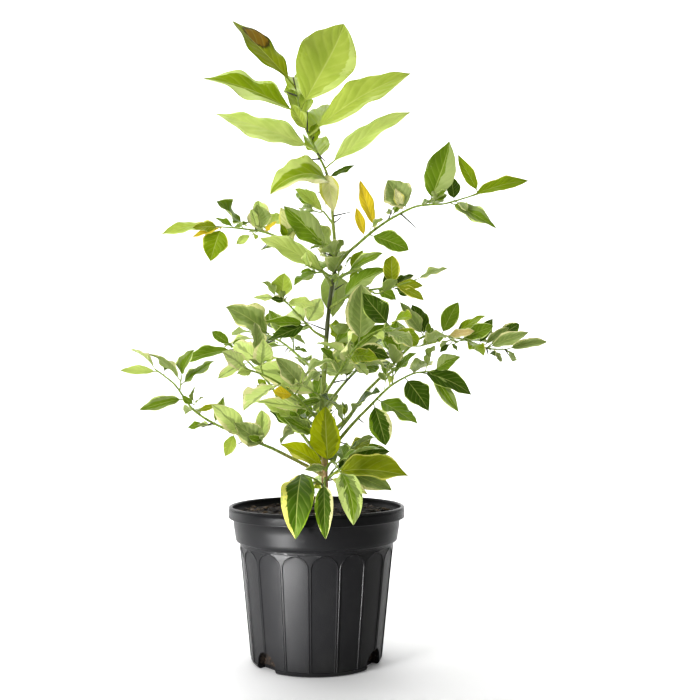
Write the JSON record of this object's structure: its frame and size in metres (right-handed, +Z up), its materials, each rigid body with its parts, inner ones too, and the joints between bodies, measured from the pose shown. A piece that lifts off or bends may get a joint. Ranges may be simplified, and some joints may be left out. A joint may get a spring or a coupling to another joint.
{
  "type": "potted lemon tree",
  "caption": "Young variegated lemon tree: a slender trunk, spreading boughs with leafy masses of foliage, and a round fluted plastic pot filled with soil.",
  "frame": {"origin": "centre of the pot's flat underside", "axes": "+Z up along the trunk, -Y towards the viewer of the picture, +X to the viewer's right"},
  "size_m": [0.6136, 0.4099, 0.923],
  "materials": {
    "pot_plastic": "satin black, finely grained",
    "potting_mix": "dark, crumbly, with bark bits",
    "bark": "thin tan bark, green higher up",
    "green_bark": "smooth green bark",
    "lime_leaves": "satin, lime green with fine veins",
    "pale_leaves": "satin, grey-green with broad cream margins",
    "leaves": "satin, grey-green with cream margins"
  },
  "bodies": {
    "root": {"pot": "pot_plastic", "soil": "potting_mix", "trunk": "bark", "bough_back_high": "green_bark", "bough_back_left": "green_bark", "bough_back_low": "green_bark", "bough_back_right": "green_bark", "bough_front_left": "green_bark", "bough_front_right": "green_bark", "bough_lower_left_high": "green_bark", "bough_lower_left_low": "green_bark", "bough_lower_right_high": "green_bark", "bough_lower_right_low": "green_bark", "bough_mid_left": "green_bark", "bough_mid_right": "green_bark", "bough_upper_left": "green_bark", "bough_upper_right": "green_bark", "foliage_back_high": "leaves", "foliage_back_left": "leaves", "foliage_back_low": "leaves", "foliage_back_right": "leaves", "foliage_collar_back": "leaves", "foliage_collar_front": "leaves", "foliage_collar_left": "leaves", "foliage_collar_low": "leaves", "foliage_collar_right": "leaves", "foliage_front_left": "pale_leaves", "foliage_front_right": "pale_leaves", "foliage_heart_left": "pale_leaves", "foliage_heart_right": "leaves", "foliage_lower_left_high": "leaves", "foliage_lower_left_low": "leaves", "foliage_lower_right_high": "leaves", "foliage_lower_right_low": "leaves", "foliage_mid_left": "leaves", "foliage_mid_right": "leaves", "foliage_spur_back": "leaves", "foliage_spur_left": "leaves", "foliage_spur_left_low": "leaves", "foliage_spur_left_mid": "leaves", "foliage_spur_right": "leaves", "foliage_spur_right_low": "leaves", "foliage_top": "lime_leaves", "foliage_upper_left": "pale_leaves", "foliage_upper_right": "leaves"}
  },
  "joints": []
}
